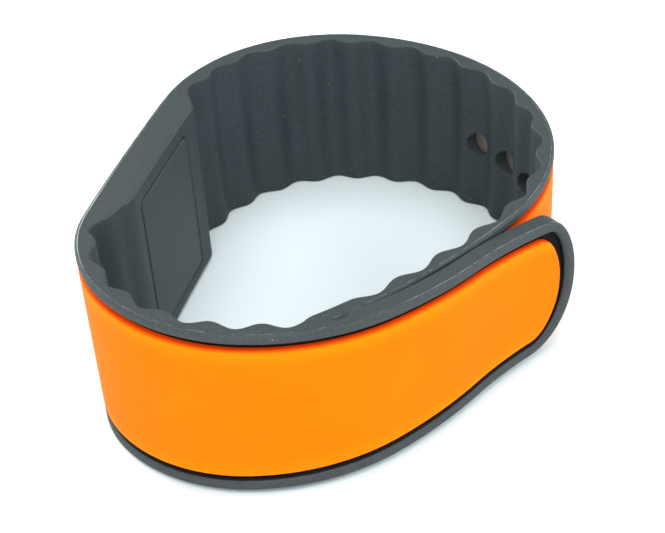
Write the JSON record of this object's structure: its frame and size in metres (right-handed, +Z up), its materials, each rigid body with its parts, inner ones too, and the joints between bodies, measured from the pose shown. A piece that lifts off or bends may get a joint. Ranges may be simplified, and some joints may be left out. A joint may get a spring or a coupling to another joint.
{
  "type": "silicone wristband",
  "caption": "Adjustable silicone wristband with a coloured strip in its outer face, a wavy inner face and a thick flat pod, fastened into a loop.",
  "frame": {"origin": "middle of the loop's footprint, on the floor that the band stands on", "axes": "+Z up, along the wrist that the loop would hold; +Y towards the far side of the loop in the picture; the pod is at -X and the free outer end at +X"},
  "size_m": [0.0637, 0.0754, 0.0265],
  "materials": {
    "band": "matte grey-green silicone with fine dust",
    "strip": "smooth matte orange silicone",
    "cover": "matte dark grey",
    "clasp": "plain matte dark grey"
  },
  "bodies": {
    "root": {"carrier_band": "band", "colour_strip": "strip", "pod_cover": "cover", "clasp": "clasp"}
  },
  "joints": []
}
